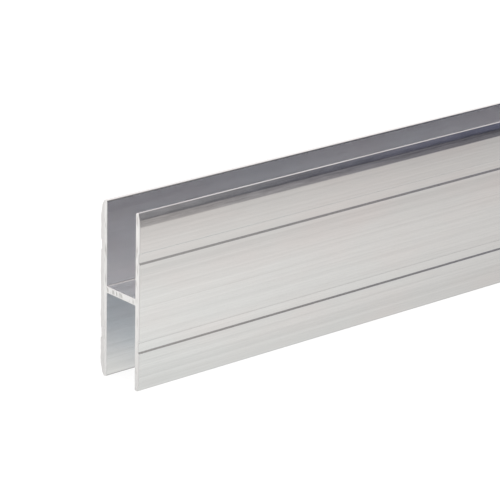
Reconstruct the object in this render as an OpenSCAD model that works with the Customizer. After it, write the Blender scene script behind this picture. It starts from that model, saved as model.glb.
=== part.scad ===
// Aluminium H-section extrusion that joins two panels edge to edge.
// A level web ties two upright flanges, so one panel slot opens upwards and one downwards.
// Sizes are in millimetres. The length runs along X, and the origin is the middle of the footprint.

/* [Stock] */
// Length between the sawn ends
length = 1000; // [200:50:4000]

/* [Section] */
// Height of the flanges, over both edges
height = 30; // [26:0.5:50]
// Clear width of each panel slot
slot_w = 7.3; // [4.3:0.1:19.3]
// Thickness of each flange
flange_t = 1.1; // [1:0.05:2.4]
// Thickness of the web between the slots
web_t = 1.1; // [0.8:0.05:3]
// Radius of the fillets where the web meets the flanges
root_r = 0.2; // [0.1:0.05:1]

/* [Flange edges] */
// Distance from each edge to the crease where the outer bevel starts
bevel_h = 2.3; // [1.6:0.1:3]
// Distance from each edge to the crease where the bevel steepens
nose_h = 0.9; // [0.6:0.05:1.4]
// Thickness of the flange at that crease
nose_t = 0.95; // [0.75:0.05:1]
// Thickness of the flange at the edge
edge_t = 0.65; // [0.5:0.05:0.7]
// Radius that leads a panel into the slot
lead_in_r = 0.35; // [0.1:0.05:0.4]

/* [Guide grooves] */
// Distance from each edge to the middle of the groove that guides a drill or rivet
groove_from_edge = 7.5; // [5:0.25:10]
// Width of each groove at the outer face
groove_w = 1.9; // [1.2:0.05:2.4]
// Depth of each groove, with flanks at 45 degrees
groove_depth = 0.2; // [0.1:0.05:0.5]

/* [Hidden] */
$fn = 64;
half_h = height / 2;
groove_floor_w = groove_w - 2 * groove_depth;
// How far a cutter stands out of the metal, or a fillet reaches into it
overlap = 0.2;

// What lies between a square corner at the origin and the arc of radius r in it
module corner(r) {
    difference() {
        translate([-overlap, -overlap]) square(r + overlap);
        translate([r, r]) circle(r);
    }
}

// Shallow guide groove, open towards +X, with its mouth on the Y axis
module guide_groove() {
    polygon([
        [-groove_depth, -groove_floor_w / 2],
        [overlap, -groove_w / 2 - overlap],
        [overlap, groove_w / 2 + overlap],
        [-groove_depth, groove_floor_w / 2]
    ]);
}

// Bevel in two steps, cut from the outer side of a flange's upper edge
module edge_bevel() {
    polygon([
        [flange_t, half_h - bevel_h],
        [nose_t, half_h - nose_h],
        [edge_t, half_h],
        [edge_t, half_h + overlap],
        [flange_t + overlap, half_h + overlap],
        [flange_t + overlap, half_h - bevel_h]
    ]);
}

// One flange in section, with its slot face on the Y axis and its outer face towards +X
module flange() {
    difference() {
        translate([0, -half_h]) square([flange_t, height]);
        for (edge = [0, 1]) mirror([0, edge]) {
            edge_bevel();
            translate([0, half_h]) mirror([0, 1]) corner(lead_in_r);
            translate([flange_t, half_h - groove_from_edge]) guide_groove();
        }
    }
}

// Whole section: web, both flanges and the fillet in each inner corner
module section() {
    square([slot_w + flange_t, web_t], center = true);
    for (side = [0, 1]) mirror([side, 0]) {
        translate([slot_w / 2, 0]) flange();
        for (face = [0, 1]) mirror([0, face])
            translate([slot_w / 2, web_t / 2]) mirror([1, 0]) corner(root_r);
    }
}

// The bar as extruded and sawn square, standing on its flange edges
module h_profile() {
    color("silver")
        translate([0, 0, half_h])
            rotate([90, 0, 90])
                linear_extrude(length, center = true)
                    section();
}

h_profile();
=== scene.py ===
"""Dresses the extruded H-section bar: fine edges, sawn ends, mill finish with painted shade and reflections,
studio and camera.
"""
import math

import bpy
import numpy as np
from mathutils import Matrix, Vector, noise
from mathutils.geometry import delaunay_2d_cdt


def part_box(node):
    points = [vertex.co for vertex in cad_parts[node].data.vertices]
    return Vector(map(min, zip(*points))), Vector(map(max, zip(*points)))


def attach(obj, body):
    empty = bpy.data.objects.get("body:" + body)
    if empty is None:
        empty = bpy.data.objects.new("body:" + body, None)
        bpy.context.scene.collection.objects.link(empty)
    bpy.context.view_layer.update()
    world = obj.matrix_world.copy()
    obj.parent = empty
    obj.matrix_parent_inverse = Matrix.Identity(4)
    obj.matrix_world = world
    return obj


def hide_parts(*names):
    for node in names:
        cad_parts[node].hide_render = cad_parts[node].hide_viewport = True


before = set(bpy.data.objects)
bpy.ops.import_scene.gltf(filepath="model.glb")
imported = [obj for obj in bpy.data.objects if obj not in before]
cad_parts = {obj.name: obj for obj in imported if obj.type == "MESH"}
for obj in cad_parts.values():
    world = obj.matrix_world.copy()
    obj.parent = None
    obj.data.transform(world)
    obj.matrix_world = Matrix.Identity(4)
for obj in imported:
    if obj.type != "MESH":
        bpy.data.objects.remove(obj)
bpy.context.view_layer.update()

NODE = "h_profile"
MM = 0.001
LOW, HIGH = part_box(NODE)
HALF_HEIGHT = (HIGH.z - LOW.z) / 2 / MM

# Fine form of the outline, in metres
EDGE_CUT = 0.07 * MM             # how far each sharp edge is cut back where the die rounds it
CREASE_RADIUS = 2.4 * MM         # rounding of the shallow creases between broad faces
SHARP_TURN = math.radians(20)
ARC_STEP = 0.12 * MM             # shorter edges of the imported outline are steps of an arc
FACE_SHARE = 0.4                 # largest share of a face that one rounding takes
LEAST_CUT = 0.02                 # share of its rounding that an edge keeps however far it is inset
ROUND_STEPS = 4                  # facets in one rounded edge
POINT_GAP = 0.3 * MM             # widest gap between points round the section
LENGTH_STEPS = 20                # facets along the bar

# Sawn ends: profiles of a rim from the end face round to the side, as (out of the face, in from the side)
RIM_ROUND = 0.08 * MM
RIM_ANGLES = np.linspace(math.pi / 2, 0, 6)
ROUNDED_RIM = RIM_ROUND * np.column_stack([np.sin(RIM_ANGLES) - 1, 1 - np.cos(RIM_ANGLES)])
BURRED_RIM = MM * np.array([(0, 0.42), (0.07, 0.29), (0.20, 0.15), (0.31, 0.05), (0.30, -0.02), (-0.12, 0)])
RIM_STEPS = len(ROUNDED_RIM)
BURR_FADE = 1.5 * MM             # the burr gets smaller this close to the flange edges
EDGE_BURR = 0.2                  # share of it that is left at the edges
BURR_LEAN = 1.5                  # the burr is full where the outward part of a normal is at least 1 over this
BURR_SHARE = {-1: 0.2, 1: 1.0}   # the blade leaves through the back flange and throws up more burr there
BURR_WAVES = [(0.15, 0.25, 0.4), (0.2, 1.1, 2.7)]   # share of the burr, waves in a mm, place in the noise
SIDE_LANE = 3.0                  # how far the two flanges' burrs lie apart in the noise
END_LANE = 11.0                  # and the two ends' burrs

# Strokes of the saw's blade on the ends
BLADE_RADIUS = 150 * MM          # the strokes are arcs of this radius
STROKE_GAP = 0.55 * MM
STROKE_DEPTH = 0.03 * MM
STROKE_MARGIN = 0.08 * MM        # strokes keep this far inside the rim
STROKE_GRID = 0.2 * MM
STROKE_DRAW = 83                 # which draw of the strokes the near end shows, the far end the next
STROKE_WAVES = [(1.0, 0.08, 5.0), (1.7, 0.4, 9.0)]  # waves in a gap, waves in a mm along, place in the noise

# How an end face is filled
INSIDE_ONLY = 1                  # the triangulation leaves out what lies outside the rim
SAME_POINT = 1e-6                # in mm, points closer than this are one

# Layout of the map that the finish is baked through: long side, rims and the two ends above it
SIDE_U = (0.02, 0.98)
RIM_U = 0.004
SIDE_V = 0.9
END_U = ((0.02, 0.48), (0.52, 0.98))
END_V = (0.92, 0.99)

# Broad bands of tone on the outer faces and in the slots, partly the die's own bands and partly painted shade
# and light of what each height mirrors: mm from mid height, relative tone
FACE_BANDS_AND_SHADE = [
    (-15, 0.95), (-10, 0.985), (-6, 1.02), (-1, 1.04), (2, 1.01), (5.5, 0.94), (8, 1.02), (10, 0.99),
    (12.5, 0.925), (14, 0.91), (15, 1.0),
]
SLOT_BANDS_AND_SHADE = [
    (-15, 1.03), (-11, 1.03), (-8.5, 0.965), (-5, 0.965), (-0.6, 1.1), (0.6, 1.0), (11.5, 1.0), (15, 0.92),
]
BAND_RANGE = (0.9, 1.1)          # every tone of the bands lies in it

# Grain of the finish and of its painted reflections and shade, each as noise: waves in a metre along X, Y and
# Z, detail, roughness
LINE_GRAIN = ((2.2, 2600, 2600), 3.0, 0.7)
FINE_GRAIN = ((2.0, 800, 800), 5.0, 0.9)
TINT_GRAIN = ((50, 150, 150), 2.0, 0.55)
SMUDGE_AND_REFLECTION_GRAIN = ((160, 1500, 1500), 3.0, 0.6)
SCORE_GRAIN = ((9, 1700, 1700), 1.0, 0.55)
PATCH_GRAIN = ((60, 60, 60), 3.0, 0.55)
SAW_GRAIN = ((0, 3800, 1100), 3.0, 0.7)
SMUDGE_AND_REFLECTION_DRAW = 225                # which draw of the smudging and painted reflection blotches the bevels show

# What the grain does, each as a ramp: from low, from high, to low, to high
LINE_TONE = (0.2, 0.8, 0.965, 1.035)
FINE_TONE = (0, 1, 0.83, 1.17)
TINT_SHARE = (0.4, 0.7, 0, 1)
SCORE_SHARE = (0.68, 0.76, 0, 0.4)
EDGE_SHADE_PATCHES = (0.3, 0.7, 0.5, 1)
GRIT_SHARE = (0.35, 0.65, 0, 1)
STROKE_SHADE = (-0.55, 0.05, 1, 0)
DRAWN_ROUGHNESS = (0.3, 0.7, 0.17, 0.24)
SAWN_ROUGHNESS = (0.3, 0.7, 0.40, 0.58)
SMUDGE_AND_REFLECTION_RANGE = (0.25, 0.75)      # the smudging and painted reflection blotches go from their darkest to their lightest over it
SMUDGE_AND_REFLECTION_DARKEST = (0.98, 0.77)    # tone on plain faces, and on the upper bevels, where it is painted reflection
SMUDGE_AND_REFLECTION_LIGHTEST = (1.02, 1.17)

# Where the finish and its painted shade and reflections change: mm from mid height, and the upward or
# downward part of the face's normal
BEVEL_START = (HALF_HEIGHT - 2.4, HALF_HEIGHT - 1.8)
EDGE_START = (HALF_HEIGHT - 0.5, HALF_HEIGHT - 0.2)
EDGE_LEAN = (0.4, 0.7)
LEAD_IN_START = (HALF_HEIGHT - 0.45, HALF_HEIGHT - 0.3)
LEAD_IN_LEAN = (0.08, 0.3, 0.5, 0.7)
FLANK_LEAN = (0.60, 0.68, 0.74, 0.82)
FILLET_END = (0.75, 0.85)
FILLET_LEAN = (0.10, 0.25, 0.90, 0.98)

# How strong the painted shade is on the lead-ins, flange edges and grooves' flanks, and the colours of the
# metal and of its painted shade
LEAD_IN_SHADE_AMOUNT = 0.8
BACK_EDGE_SHADE_AMOUNT = 0.2                  # painted shade on the back flange's edges against the front one's
FLANK_SHADE_AMOUNT = 0.7
BRIGHT = (0.905, 0.918, 0.934, 1)
TINTED = (0.919, 0.901, 0.912, 1)
SCORED = (0.78, 0.78, 0.785, 1)
# painted shade: the grooves' flanks and the fillets by the web are darkened
FLANK_PAINTED_SHADE = (0.66, 0.65, 0.64, 1)
FILLET_PAINTED_SHADE = (0.57, 0.56, 0.57, 1)
# painted shade: the lead-ins and flange edges are darkened
LEAD_IN_PAINTED_SHADE = (0.40, 0.395, 0.42, 1)
EDGE_PAINTED_SHADE = (0.40, 0.395, 0.41, 1)
SAWN = (0.90, 0.895, 0.907, 1)
SAWN_BRIGHT = (0.945, 0.94, 0.955, 1)
# painted shade in the hollows of the saw's strokes
STROKE_PAINTED_SHADE = (0.56, 0.55, 0.55, 1)

# Floor, both the one that the eye sees and the one that the metal mirrors
FLOOR_HALF = 40.0
FLOOR = [(x * FLOOR_HALF, y * FLOOR_HALF, 0) for x, y in ((-1, -1), (1, -1), (1, 1), (-1, 1))]

# Tones of the mirrored floor as ramps, over metres from the near end or sideways from the bar's middle
ALONG_TONE = (0.02, 0.14, 0.78, 0.60)
PAST_END_TONE = (-0.03, 0.003, 1.22, 1)
BESIDE_TONE = (0.010, 0.036, 0.95, 1.02)
FRONT_TONE = (-0.24, -0.052, 0.25, 1)
FAR_FRONT = (-0.12, -0.066, 1, 0)
FAR_RIGHT = (0.11, 0.20, 0, 0.95)
INWARDS = (0.003, 0.017, 0, 1)
SLOT_SIDE = (3.4 * MM, 4.6 * MM)    # where the floor under the slot ends
SLOT_TONE = (0.92, 0.70)            # at the bar's end, and further in

# Colours of the mirrored floor, and ramps from one to the next
END_FLOOR = (1, 0.995, 0.955, 1)
ALONG_FLOOR = (1, 0.965, 0.925, 1)
FRONT_FLOOR = (1, 0.94, 0.89, 1)
FAR_FLOOR = (0.6, 0.63, 1, 1)
SLOT_FLOOR = (0.94, 0.98, 1, 1)
ALONG_TINT = (0, 0.10, 0, 1)
FRONT_TINT = (-0.08, -0.03, 1, 0)

# Flag before the bar, in metres and along from the near end: its place, and its tones and tints as ramps
FLAG_Y = -0.30
FLAG_LEFT = -0.45
FLAG_RIGHT = 2.1
FLAG_TOP = 1.0
FLAG_SLANT = 0.5                 # its low shade moves this far along for each metre up
LOW_SHADE = (0.188, 0.23, 0.25, 0.118)
HIGH_START = (0.04, 0.40)
HIGH_SHADE = (0.52, 0.62, 0.22, 0.11)
LEFT_SHADE = (FLAG_LEFT, 0.08, 1, 0)
BLUE_TINT = (0.20, 0.31, 0, 1)
WARM_TINT = (0.2, 0.5, 0, 1)
FLAG_PLAIN = (1, 0.98, 0.99, 1)
FLAG_BLUE = (0.66, 0.68, 1, 1)
FLAG_WARM = (1, 0.96, 0.92, 1)

# Cards beyond both ends, in metres from the bar's middle
CARD_AWAY = 2.5
CARD_HALF = 0.6
CARD_TOP = 1.6
CARD_COLOUR = (0.97, 0.98, 1, 1)
CARD_GLOW = 0.35

# Camera fitted to the photograph: its place from the near end's centre, its aim and its lens
EYE_FROM_END = Vector((-0.27245, -0.34475, 0.16643))
CAMERA_YAW = math.radians(40.97)
CAMERA_PITCH = math.radians(19.82)
CAMERA_ROLL = math.radians(1.26)
FOCAL_PX = 2959
PHOTO_PX = 500


def section_outline(node):
    """Corner points (Y, Z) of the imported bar's section, in order round it with the metal on the left."""
    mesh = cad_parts[node].data
    mesh.calc_loop_triangles()
    places = [tuple(round(c, 8) for c in v.co) for v in mesh.vertices]
    following = {}
    for tri in mesh.loop_triangles:
        corners = [places[v] for v in tri.vertices]
        if any(abs(c[0] - LOW.x) > MM / 1000 for c in corners):
            continue
        for a, b in zip(corners, corners[1:] + corners[:1]):
            following.setdefault(a, set()).add(b)
    rim = {a: [b for b in ends if a not in following.get(b, ())] for a, ends in following.items()}
    rim = {a: ends[0] for a, ends in rim.items() if ends}
    start = min(rim)
    loop = [start]
    while rim[loop[-1]] != start:
        loop.append(rim[loop[-1]])
    points = np.array([(p[1], p[2]) for p in loop])
    y, z = points.T
    area = np.sum(y * np.roll(z, -1) - z * np.roll(y, -1))
    return points if area > 0 else points[::-1]


def faces_of(points):
    """Each edge of a closed outline: its vector, length and outward unit normal."""
    ahead = np.roll(points, -1, 0) - points
    length = np.linalg.norm(ahead, axis=1)
    return ahead, length, np.stack([ahead[:, 1], -ahead[:, 0]], 1) / length[:, None]


def outward_normals(points):
    """Unit normals at the outline's points, ruled by the longer of the two faces that meet there."""
    _, length, face = faces_of(points)
    weighted = face * length[:, None] ** 2
    normal = weighted + np.roll(weighted, 1, 0)
    return normal / np.linalg.norm(normal, axis=1)[:, None]


def round_edges(corners, inset):
    """The outline moved inwards by inset, a depth for each corner, with its edges and creases rounded.

    Returns the points and the corner that each comes from.
    """
    ahead, length, face = faces_of(corners)
    points, owner = [], []
    for i in range(len(corners)):
        cosine = face[i - 1] @ face[i]
        turn = math.acos(np.clip(cosine, -1, 1))
        convex = face[i - 1][0] * face[i][1] - face[i - 1][1] * face[i][0] > 0
        corner = corners[i] - (face[i - 1] + face[i]) / (1 + cosine) * inset[i]
        shorter = min(length[i - 1], length[i])
        if shorter < ARC_STEP:
            points.append(corner)
            owner.append(i)
            continue
        cut = EDGE_CUT if turn > SHARP_TURN else CREASE_RADIUS * math.tan(turn / 2)
        cut = min(cut, FACE_SHARE * shorter)
        used = inset[i] * math.tan(turn / 2)
        cut = max(cut - used, LEAST_CUT * cut) if convex else cut + used
        first = corner - ahead[i - 1] / length[i - 1] * cut
        last = corner + ahead[i] / length[i] * cut
        for t in np.linspace(0, 1, ROUND_STEPS + 1):
            points.append((1 - t) ** 2 * first + 2 * t * (1 - t) * corner + t ** 2 * last)
            owner.append(i)
    return np.array(points), np.array(owner)


class Section:
    """The bar's outline as closely spaced points, at any inset."""

    def __init__(self, corners):
        self.corners = corners
        base, self.owner = round_edges(corners, np.zeros(len(corners)))
        self.splits = np.ceil(faces_of(base)[1] / POINT_GAP).astype(int)
        self.points = self.spread(base)
        self.normals = outward_normals(self.points)
        self.count = len(self.points)

    def spread(self, values):
        """Values at the rounded outline's points, carried on to the closely spaced ones."""
        start = np.repeat(np.arange(len(values)), self.splits)
        share = np.concatenate([np.arange(n) / n for n in self.splits])
        share = share.reshape(-1, *[1] * (values.ndim - 1))
        return values[start] * (1 - share) + np.roll(values, -1, 0)[start] * share

    def inset(self, depth):
        """The points moved inwards by a depth given for each packed corner."""
        return self.spread(round_edges(self.corners, depth)[0])

    def at_points(self, values):
        """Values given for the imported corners, at the closely spaced points."""
        return self.spread(values[self.owner])


def burr_share(corners):
    """Share of the burr at each packed corner's rim: outer faces only, and less near the flange edges."""
    low, high = corners[:, 1].min(), corners[:, 1].max()
    reach = np.minimum(corners[:, 1] - low, high - corners[:, 1])
    facing = outward_normals(corners)[:, 0] * np.sign(corners[:, 0])
    grown = np.clip(reach / BURR_FADE, 0, 1)
    return np.clip(BURR_LEAN * facing, 0, 1) * (EDGE_BURR + (1 - EDGE_BURR) * grown)


def rim_depths(share):
    """Depth inside the outline of each ring of a rim, for each packed corner."""
    pairs = zip(ROUNDED_RIM[:, 1], BURRED_RIM[:, 1])
    return [share * burred + (1 - share) * rounded for rounded, burred in pairs]


def burr_waver(points, end):
    """How large the burr is at each point of an end's rim, against its usual size."""
    waver = []
    for y, z in points / MM:
        side = int(math.copysign(1, y))
        lane = SIDE_LANE * side + END_LANE * end
        swing = [share * noise.noise(Vector((lane, spot, z * rate))) for share, rate, spot in BURR_WAVES]
        waver.append(BURR_SHARE[side] * (1 + sum(swing)))
    return np.array(waver)


def rim_rings(section, end):
    """One end's rim as rings from the end face to the side: section points, height out of the face, normals.

    A normal is given as its part out of the face and its part along the section's own normal.
    """
    share = burr_share(section.corners)
    outer = section.at_points(share)
    burr = outer * burr_waver(section.points, end)
    places, rises, depths = [], [], []
    for rounded, burred, depth in zip(ROUNDED_RIM[:, 0], BURRED_RIM[:, 0], rim_depths(share)):
        places.append(section.inset(depth))
        rises.append(burr * max(burred, 0) + outer * min(burred, 0) + (1 - outer) * rounded)
        depths.append(section.at_points(depth))
    side = np.full(section.count, -1.0)
    lean = np.stack([-np.diff(depths + [depths[-1]], axis=0), -np.diff(rises + [side], axis=0)], -1)
    weighted = lean * np.linalg.norm(lean, axis=-1, keepdims=True)
    weighted[1:] += weighted[:-1].copy()
    normals = weighted / np.linalg.norm(weighted, axis=-1, keepdims=True)
    normals[0] = (1, 0)
    return np.array(places), np.array(rises), normals


def ring_stack(section, rims):
    """Rings from the near end face along the side to the far end face: points, normals, and U of the map."""
    rim_where, rim_facing = [], []
    for (places, rises, normals), x, out in zip(rims, (LOW.x, HIGH.x), (-1, 1)):
        rim_where.append([np.column_stack([x + out * rise, place]) for place, rise in zip(places, rises)])
        rim_facing.append([np.column_stack([out * n[:, 0], section.normals * n[:, 1:]]) for n in normals])
    shares = np.arange(1, LENGTH_STEPS) / LENGTH_STEPS
    along = [np.full(section.count, LOW.x + (HIGH.x - LOW.x) * share) for share in shares]
    side_where = [np.column_stack([x, section.points]) for x in along]
    side_facing = [np.column_stack([np.zeros(section.count), section.normals])] * len(along)
    rim_u = np.linspace(RIM_U, SIDE_U[0], RIM_STEPS)
    side_u = SIDE_U[0] + (SIDE_U[1] - SIDE_U[0]) * shares
    where = rim_where[0] + side_where + rim_where[1][::-1]
    facing = rim_facing[0] + side_facing + rim_facing[1][::-1]
    return where, facing, np.concatenate([rim_u, side_u, 1 - rim_u[::-1]])


def side_faces(section, u):
    """Faces between neighbouring rings, and the map place of each of their corners."""
    count = section.count
    travel = np.concatenate([[0], np.cumsum(faces_of(section.points)[1])])
    v = SIDE_V * travel / travel[-1]
    faces, places = [], []
    for ring in range(len(u) - 1):
        base = ring * count
        for i in range(count):
            j = (i + 1) % count
            faces.append((base + i, base + j, base + count + j, base + count + i))
            places += [(u[ring], v[i]), (u[ring], v[i + 1]), (u[ring + 1], v[i + 1]), (u[ring + 1], v[i])]
    return faces, places


def inside(points, outline):
    """Which of the points lie inside a closed outline."""
    y, z = points[:, :1], points[:, 1:]
    a, b = outline, np.roll(outline, -1, 0)
    with np.errstate(divide="ignore", invalid="ignore"):
        meets = a[:, 0] + (b[:, 0] - a[:, 0]) * (z - a[:, 1]) / (b[:, 1] - a[:, 1])
    return (((a[:, 1] > z) != (b[:, 1] > z)) & (y < meets)).sum(1) % 2 == 1


def end_points(section):
    """Grid of points inside an end face, which carry the saw's strokes."""
    low, high = section.points.min(0), section.points.max(0)
    lines = [np.arange(a, b, STROKE_GRID) for a, b in zip(low, high)]
    grid = np.stack(np.meshgrid(*lines), -1).reshape(-1, 2)
    rim_depth = rim_depths(burr_share(section.corners))[0]
    return grid[inside(grid, section.inset(rim_depth + STROKE_MARGIN))]


def stroke_height(points, end):
    """Height of the saw's strokes at points of an end face, from -1 to 1."""
    from_hub = np.hypot(points[:, 0] - BLADE_RADIUS, points[:, 1])
    found = []
    for across, z in zip(from_hub / STROKE_GAP, points[:, 1] / MM):
        found.append(sum(
            noise.noise(Vector((across * rate, z * along_rate, spot + STROKE_DRAW + end)))
            for rate, along_rate, spot in STROKE_WAVES
        ))
    return np.clip(found, -1, 1)


def end_faces(section, rim, inner, end):
    """Triangles that fill an end's rim through inner points, and the map place of each of their corners.

    Their indices run over the rim's points, then the inner ones.
    """
    points = np.concatenate([rim, inner])
    outline = list(range(len(rim)))
    corners = [Vector(p) for p in points / MM]
    _, _, filling, origins, _, _ = delaunay_2d_cdt(corners, [], [outline], INSIDE_ONLY, SAME_POINT)
    names = [ids[0] for ids in origins]
    triangles = [[names[v] for v in triangle] for triangle in filling]
    if end == 0:
        triangles = [triangle[::-1] for triangle in triangles]
    low, high = section.points.min(0), section.points.max(0)
    across, up = ((points - low) / (high - low)).T
    u = END_U[end][0] + (END_U[end][1] - END_U[end][0]) * up
    v = END_V[0] + (END_V[1] - END_V[0]) * across
    return triangles, [(u[n], v[n]) for triangle in triangles for n in triangle]


def make_bar():
    """The whole bar as one closed mesh, with its map for baking, what is sawn, and the strokes' height."""
    section = Section(section_outline(NODE))
    rims = [rim_rings(section, end) for end in (0, 1)]
    where, facing, u = ring_stack(section, rims)
    faces, places = side_faces(section, u)
    inner = end_points(section)
    count, rings = section.count, len(where)
    ring_cut = np.zeros(rings)
    ring_cut[:RIM_STEPS - 1] = 1
    ring_cut[1 - RIM_STEPS:] = 1
    cut = np.concatenate([np.repeat(ring_cut, count), np.ones(2 * len(inner))])
    strokes = [np.zeros(rings * count)]
    for end, (first, x, out) in enumerate(((0, LOW.x, -1), ((rings - 1) * count, HIGH.x, 1))):
        start = rings * count + end * len(inner)
        height = stroke_height(inner, end)
        where.append(np.column_stack([x + out * STROKE_DEPTH * (height - 1), inner]))
        facing.append(np.zeros((len(inner), 3)))
        strokes.append(height)
        triangles, end_places = end_faces(section, rims[end][0][0], inner, end)
        faces += [[first + n if n < count else start + n - count for n in triangle] for triangle in triangles]
        places += end_places

    mesh = bpy.data.meshes.new("bar")
    mesh.from_pydata(np.concatenate(where).tolist(), [], faces)
    mesh.polygons.foreach_set("use_smooth", [True] * len(faces))
    mesh.uv_layers.new(name="OFBake").uv.foreach_set("vector", np.ravel(places))
    mesh.attributes.new("cut", "FLOAT", "POINT").data.foreach_set("value", cut)
    mesh.attributes.new("stroke", "FLOAT", "POINT").data.foreach_set("value", np.concatenate(strokes))
    mesh.update()
    mesh.normals_split_custom_set_from_vertices(np.concatenate(facing).tolist())
    bar = bpy.data.objects.new("bar", mesh)
    bpy.context.scene.collection.objects.link(bar)
    return bar


class Graph:
    """Short way to add and link shader nodes."""

    def __init__(self, tree):
        self.tree = tree
        tree.nodes.clear()

    def put(self, socket, value):
        """Link an output to the socket, or set its value."""
        if isinstance(value, bpy.types.NodeSocket):
            self.tree.links.new(value, socket)
        else:
            socket.default_value = value

    def add(self, kind, inputs=None, **settings):
        """New node with its settings and inputs."""
        node = self.tree.nodes.new(kind)
        for name, value in settings.items():
            setattr(node, name, value)
        for name, value in (inputs or {}).items():
            self.put(node.inputs[name], value)
        return node

    def place(self):
        """Where the point lies, in metres."""
        return self.add("ShaderNodeTexCoord").outputs["Object"]

    def axes(self, vector):
        """The X, Y and Z of a vector."""
        return self.add("ShaderNodeSeparateXYZ", {"Vector": vector}).outputs

    def stretched_noise(self, place, scale, detail, roughness, draw=0.0):
        """Noise from place, with its own scale along each axis, and another pattern for each draw."""
        mapped = self.add("ShaderNodeMapping", {"Vector": place, "Scale": scale, "Location": (draw, 0, 0)})
        grain = self.add(
            "ShaderNodeTexNoise",
            {"Vector": mapped.outputs["Vector"], "Scale": 1.0, "Detail": detail, "Roughness": roughness},
        )
        return grain.outputs["Fac"]

    def ramp(self, value, low, high, out_low, out_high, kind="LINEAR"):
        """From out_low to out_high as the value goes from low to high, and level beyond."""
        node = self.add(
            "ShaderNodeMapRange",
            {"Value": value, "From Min": low, "From Max": high, "To Min": out_low, "To Max": out_high},
            interpolation_type=kind,
        )
        return node.outputs["Result"]

    def between(self, value, rise, full, fall, end):
        """1 where the value lies from full to fall, and 0 below rise and above end."""
        return self.product(self.ramp(value, rise, full, 0, 1), self.ramp(value, fall, end, 1, 0))

    def steps(self, value, stops):
        """Line through (value, result) stops whose results lie in the bands' range."""
        low, high = stops[0][0], stops[-1][0]
        least, most = BAND_RANGE
        curve = self.add("ShaderNodeValToRGB", {"Fac": self.ramp(value, low, high, 0, 1)})
        points = curve.color_ramp.elements
        while len(points) < len(stops):
            points.new(0.5)
        for point, (place, result) in zip(points, stops):
            point.position = (place - low) / (high - low)
            grey = (result - least) / (most - least)
            point.color = (grey, grey, grey, 1)
        return self.ramp(curve.outputs["Color"], 0, 1, least, most)

    def maths(self, operation, a, b=0.0):
        """Result of one operation on two values."""
        return self.add("ShaderNodeMath", {0: a, 1: b}, operation=operation).outputs["Value"]

    def product(self, first, *others):
        """All the values multiplied."""
        for other in others:
            first = self.maths("MULTIPLY", first, other)
        return first

    def scaled(self, colour, factor):
        """The colour made lighter or darker."""
        node = self.add("ShaderNodeVectorMath", {0: colour, "Scale": factor}, operation="SCALE")
        return node.outputs["Vector"]

    def mix_colour(self, factor, a, b):
        """Colour a where the factor is 0, and b where it is 1."""
        # Inputs 6 and 7 and output 2 of this node are its colours
        return self.add("ShaderNodeMix", {0: factor, 6: a, 7: b}, data_type="RGBA").outputs[2]

    def shine(self, colour, strength):
        """Make the surface give off light."""
        light = self.add("ShaderNodeEmission", {"Color": colour, "Strength": strength})
        self.add("ShaderNodeOutputMaterial", {"Surface": light.outputs["Emission"]})


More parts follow.
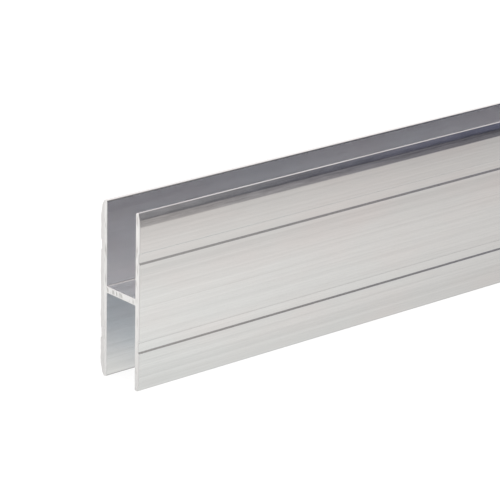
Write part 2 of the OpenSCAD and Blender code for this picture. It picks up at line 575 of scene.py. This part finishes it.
class Metal(Graph):
    """Graph of the bar's finish and its painted shade and reflections, with where a point lies on the bar and
    how the surface faces there.
    """

    def __init__(self, tree):
        super().__init__(tree)
        self.spot = self.place()
        _, y, z = self.axes(self.spot)
        normal = self.axes(self.add("ShaderNodeNewGeometry").outputs["True Normal"])
        self.lean = self.maths("ABSOLUTE", normal["Z"])
        self.height = self.ramp(z, LOW.z, HIGH.z, -HALF_HEIGHT, HALF_HEIGHT)
        self.off_middle = self.maths("ABSOLUTE", self.height)
        self.outer = self.ramp(self.maths("MULTIPLY", normal["Y"], y), 0, MM, 0, 1)
        self.back = self.ramp(y, -MM, MM, 0, 1)
        self.sawn = self.add("ShaderNodeAttribute", attribute_name="cut").outputs["Fac"]
        self.stroke = self.add("ShaderNodeAttribute", attribute_name="stroke").outputs["Fac"]
        self.lines = self.stretched_noise(self.spot, *LINE_GRAIN)
        self.grit = self.stretched_noise(self.spot, *SAW_GRAIN)

    def drawn(self):
        """Colour of the metal as it leaves the die: faint tints, fine bands and lines, and broad bands by
        height that are partly the die's own tone and partly painted shade and light.
        """
        tints = self.stretched_noise(self.spot, *TINT_GRAIN)
        bands = self.stretched_noise(self.spot, *FINE_GRAIN)
        # broad bands by height: partly the die's own tone, partly painted shade and light of what each height
        # mirrors
        broad = self.ramp(
            self.outer, 0, 1, self.steps(self.height, SLOT_BANDS_AND_SHADE), self.steps(self.height, FACE_BANDS_AND_SHADE)
        )
        fine = self.ramp(bands, *FINE_TONE)
        thin = self.ramp(self.lines, *LINE_TONE)
        colour = self.mix_colour(self.ramp(tints, *TINT_SHARE), BRIGHT, TINTED)
        return self.scaled(colour, self.product(broad, fine, thin))

    def smudged_and_reflecting(self, colour):
        """The colour with a few scores, with faint hand smudging on plain faces and strong light and dark
        blotches of painted reflection on the upper bevels.
        """
        smudges_and_reflections = self.stretched_noise(self.spot, *SMUDGE_AND_REFLECTION_GRAIN, SMUDGE_AND_REFLECTION_DRAW)
        scores = self.stretched_noise(self.spot, *SCORE_GRAIN)
        # on the upper bevels the same noise paints strong light and dark blotches of reflection
        bevel = self.product(self.outer, self.ramp(self.height, *BEVEL_START, 0, 1))
        darkest = self.ramp(bevel, 0, 1, *SMUDGE_AND_REFLECTION_DARKEST)
        lightest = self.ramp(bevel, 0, 1, *SMUDGE_AND_REFLECTION_LIGHTEST)
        colour = self.scaled(colour, self.ramp(smudges_and_reflections, *SMUDGE_AND_REFLECTION_RANGE, darkest, lightest))
        return self.mix_colour(self.ramp(scores, *SCORE_SHARE), colour, SCORED)

    def shaded_in_hollows(self, colour):
        """The colour with painted shade on the grooves' 45 degree flanks and in the fillets by the web."""
        flank = self.between(self.lean, *FLANK_LEAN)
        colour = self.mix_colour(self.product(flank, FLANK_SHADE_AMOUNT), colour, FLANK_PAINTED_SHADE)
        by_web = self.ramp(self.off_middle, *FILLET_END, 1, 0)
        fillet = self.product(by_web, self.between(self.lean, *FILLET_LEAN))
        return self.mix_colour(fillet, colour, FILLET_PAINTED_SHADE)

    def shaded_at_tips(self, colour):
        """The colour with painted shade on the lead-ins and, in patches, on the flange edges, most of all on
        the front flange.
        """
        lead_in = self.product(
            self.ramp(self.outer, 0, 1, LEAD_IN_SHADE_AMOUNT, 0),
            self.ramp(self.off_middle, *LEAD_IN_START, 0, 1),
            self.between(self.lean, *LEAD_IN_LEAN),
        )
        colour = self.mix_colour(lead_in, colour, LEAD_IN_PAINTED_SHADE)
        patches = self.stretched_noise(self.spot, *PATCH_GRAIN)
        edge = self.product(
            self.ramp(self.off_middle, *EDGE_START, 0, 1),
            self.ramp(self.lean, *EDGE_LEAN, 0, 1),
            self.ramp(self.back, 0, 1, 1, BACK_EDGE_SHADE_AMOUNT),
            self.ramp(patches, *EDGE_SHADE_PATCHES),
        )
        return self.mix_colour(edge, colour, EDGE_PAINTED_SHADE)

    def cut(self):
        """Colour of the sawn ends: grit, and painted shade in the hollows of the strokes."""
        colour = self.mix_colour(self.ramp(self.grit, *GRIT_SHARE), SAWN, SAWN_BRIGHT)
        return self.mix_colour(self.ramp(self.stroke, *STROKE_SHADE), colour, STROKE_PAINTED_SHADE)

    def roughness(self):
        """Roughness of the drawn faces and of the sawn ends."""
        drawn = self.ramp(self.lines, *DRAWN_ROUGHNESS)
        cut = self.ramp(self.grit, *SAWN_ROUGHNESS)
        return self.ramp(self.sawn, 0, 1, drawn, cut)

    def relief(self):
        """Normal with the die's lines, and on the sawn ends the grit."""
        lines = self.add("ShaderNodeBump", {"Height": self.lines, "Strength": 0.5, "Distance": 0.004 * MM})
        grit = self.add("ShaderNodeBump", {"Height": self.grit, "Strength": self.sawn, "Distance": 0.02 * MM})
        self.put(grit.inputs["Normal"], lines.outputs["Normal"])
        return grit.outputs["Normal"]


def mill_aluminium():
    """Aluminium as it leaves the die, smudged and sawn at the ends, with painted shade and reflections on its
    faces.
    """
    material = bpy.data.materials.new("mill_aluminium")
    material.use_nodes = True
    metal = Metal(material.node_tree)
    # this colour carries painted shade and reflections as well as the metal's own tone
    drawn = metal.shaded_at_tips(metal.shaded_in_hollows(metal.smudged_and_reflecting(metal.drawn())))
    # Die lines run along X; on the sawn ends the small Z part takes over, along the strokes
    along = metal.add("ShaderNodeCombineXYZ", {"X": 1.0, "Z": 0.05})
    shader = metal.add(
        "ShaderNodeBsdfPrincipled",
        {
            "Base Color": metal.mix_colour(metal.sawn, drawn, metal.cut()),
            "Metallic": 1.0,
            "Roughness": metal.roughness(),
            "Anisotropic": 0.3,
            "Anisotropic Rotation": 0.25,
            "Tangent": along.outputs["Vector"],
            "Normal": metal.relief(),
        },
    )
    metal.add("ShaderNodeOutputMaterial", {"Surface": shader.outputs["BSDF"]})
    return material


def stage_sheet(name, corners, seen_by):
    """Flat piece of the studio that only the named kinds of rays see, and its empty shader graph."""
    mesh = bpy.data.meshes.new(name)
    mesh.from_pydata(corners, [], [tuple(range(len(corners)))])
    sheet = bpy.data.objects.new(name, mesh)
    bpy.context.scene.collection.objects.link(sheet)
    sheet.visible_camera = "camera" in seen_by
    sheet.visible_diffuse = "diffuse" in seen_by
    sheet.visible_glossy = "glossy" in seen_by
    sheet.visible_shadow = False
    material = bpy.data.materials.new(name)
    material.use_nodes = True
    material.cycles.emission_sampling = "NONE"
    mesh.materials.append(material)
    return Graph(material.node_tree)


def make_floor():
    """White floor for the eye."""
    g = stage_sheet("floor", FLOOR, ("camera", "diffuse"))
    shader = g.add(
        "ShaderNodeBsdfPrincipled",
        {
            "Base Color": (0.25, 0.25, 0.25, 1),
            "Roughness": 0.9,
            "Specular IOR Level": 0.0,
            "Emission Color": (1, 1, 1, 1),
            "Emission Strength": 0.86,
        },
    )
    g.add("ShaderNodeOutputMaterial", {"Surface": shader.outputs["BSDF"]})


def make_mirrored_floor():
    """Floor that the metal mirrors: shaded along the bar and in the slot, dark in front to the right."""
    g = stage_sheet("mirrored_floor", FLOOR, ("glossy",))
    x, y, _ = g.axes(g.place())
    along = g.maths("SUBTRACT", x, LOW.x)
    beside = g.maths("ABSOLUTE", y)
    inwards = g.ramp(along, *INWARDS)
    glow = g.product(
        g.ramp(along, *ALONG_TONE),
        g.ramp(along, *PAST_END_TONE),
        g.ramp(beside, *SLOT_SIDE, g.ramp(inwards, 0, 1, *SLOT_TONE), 1),
        g.ramp(beside, *BESIDE_TONE),
        g.ramp(y, *FRONT_TONE),
    )
    far_right = g.product(g.ramp(y, *FAR_FRONT, "SMOOTHSTEP"), g.ramp(along, *FAR_RIGHT))
    glow = g.product(glow, g.maths("SUBTRACT", 1.0, far_right))
    colour = g.mix_colour(g.ramp(along, *ALONG_TINT), END_FLOOR, ALONG_FLOOR)
    colour = g.mix_colour(g.ramp(y, *FRONT_TINT), colour, FRONT_FLOOR)
    colour = g.mix_colour(far_right, colour, FAR_FLOOR)
    in_slot = g.product(g.ramp(beside, *SLOT_SIDE, 1, 0), inwards)
    g.shine(g.mix_colour(in_slot, colour, SLOT_FLOOR), glow)


def make_flag():
    """Dark upright card before the bar, seen only in the metal: lighter to the left and above."""
    left, right = LOW.x + FLAG_LEFT, LOW.x + FLAG_RIGHT
    corners = [(left, FLAG_Y, 0), (right, FLAG_Y, 0), (right, FLAG_Y, FLAG_TOP), (left, FLAG_Y, FLAG_TOP)]
    g = stage_sheet("flag", corners, ("glossy",))
    x, _, z = g.axes(g.place())
    along = g.maths("SUBTRACT", x, LOW.x)
    slanted = g.maths("SUBTRACT", along, g.maths("MULTIPLY", z, FLAG_SLANT))
    low_shade = g.ramp(slanted, *LOW_SHADE)
    high_shade = g.ramp(z, *HIGH_START, 0, g.ramp(along, *HIGH_SHADE))
    left_shade = g.ramp(along, *LEFT_SHADE)
    low_colour = g.mix_colour(g.ramp(slanted, *BLUE_TINT), FLAG_PLAIN, FLAG_BLUE)
    colour = g.mix_colour(g.ramp(z, *WARM_TINT), low_colour, FLAG_WARM)
    g.shine(colour, g.maths("MAXIMUM", g.maths("ADD", low_shade, high_shade), left_shade))


def make_end_cards():
    """Grey cards beyond both ends, seen only in the metal, for views along the bar."""
    outline = [(-CARD_HALF, 0), (CARD_HALF, 0), (CARD_HALF, CARD_TOP), (-CARD_HALF, CARD_TOP)]
    for name, x in (("near_card", -CARD_AWAY), ("far_card", CARD_AWAY)):
        g = stage_sheet(name, [(x, y, z) for y, z in outline], ("glossy",))
        g.shine(CARD_COLOUR, CARD_GLOW)


def light_studio():
    """Even pale light from all round, and enough bounces for the slots, whose walls mirror each other."""
    scene = bpy.context.scene
    scene.world = bpy.data.worlds.new("studio")
    scene.world.use_nodes = True
    scene.world.cycles.sampling_method = "NONE"
    g = Graph(scene.world.node_tree)
    sky = g.add("ShaderNodeBackground", {"Color": (1.0, 0.965, 0.94, 1), "Strength": 1.15})
    g.add("ShaderNodeOutputWorld", {"Surface": sky.outputs["Background"]})
    scene.view_settings.view_transform = "Standard"
    scene.cycles.max_bounces = 20
    scene.cycles.glossy_bounces = 20


def place_camera():
    """Camera at the photograph's viewpoint."""
    near_end = Vector((LOW.x, (LOW.y + HIGH.y) / 2, (LOW.z + HIGH.z) / 2))
    ahead = Vector((
        math.sin(CAMERA_YAW) * math.cos(CAMERA_PITCH),
        math.cos(CAMERA_YAW) * math.cos(CAMERA_PITCH),
        -math.sin(CAMERA_PITCH),
    ))
    right = Vector((math.cos(CAMERA_YAW), -math.sin(CAMERA_YAW), 0))
    up = right.cross(ahead)
    rolled_right = right * math.cos(CAMERA_ROLL) + up * math.sin(CAMERA_ROLL)
    rolled_up = rolled_right.cross(ahead)
    data = bpy.data.cameras.new("camera")
    data.sensor_width = 36
    data.lens = data.sensor_width * FOCAL_PX / PHOTO_PX
    data.clip_start = 0.01
    data.clip_end = 200
    camera = bpy.data.objects.new("camera", data)
    turn = Matrix((rolled_right, rolled_up, -ahead)).transposed().to_4x4()
    camera.matrix_world = Matrix.Translation(near_end + EYE_FROM_END) @ turn
    bpy.context.scene.collection.objects.link(camera)
    bpy.context.scene.camera = camera


bar = make_bar()
bar.data.materials.append(mill_aluminium())
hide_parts(NODE)
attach(bar, "root")
make_floor()
make_mirrored_floor()
make_flag()
make_end_cards()
light_studio()
place_camera()
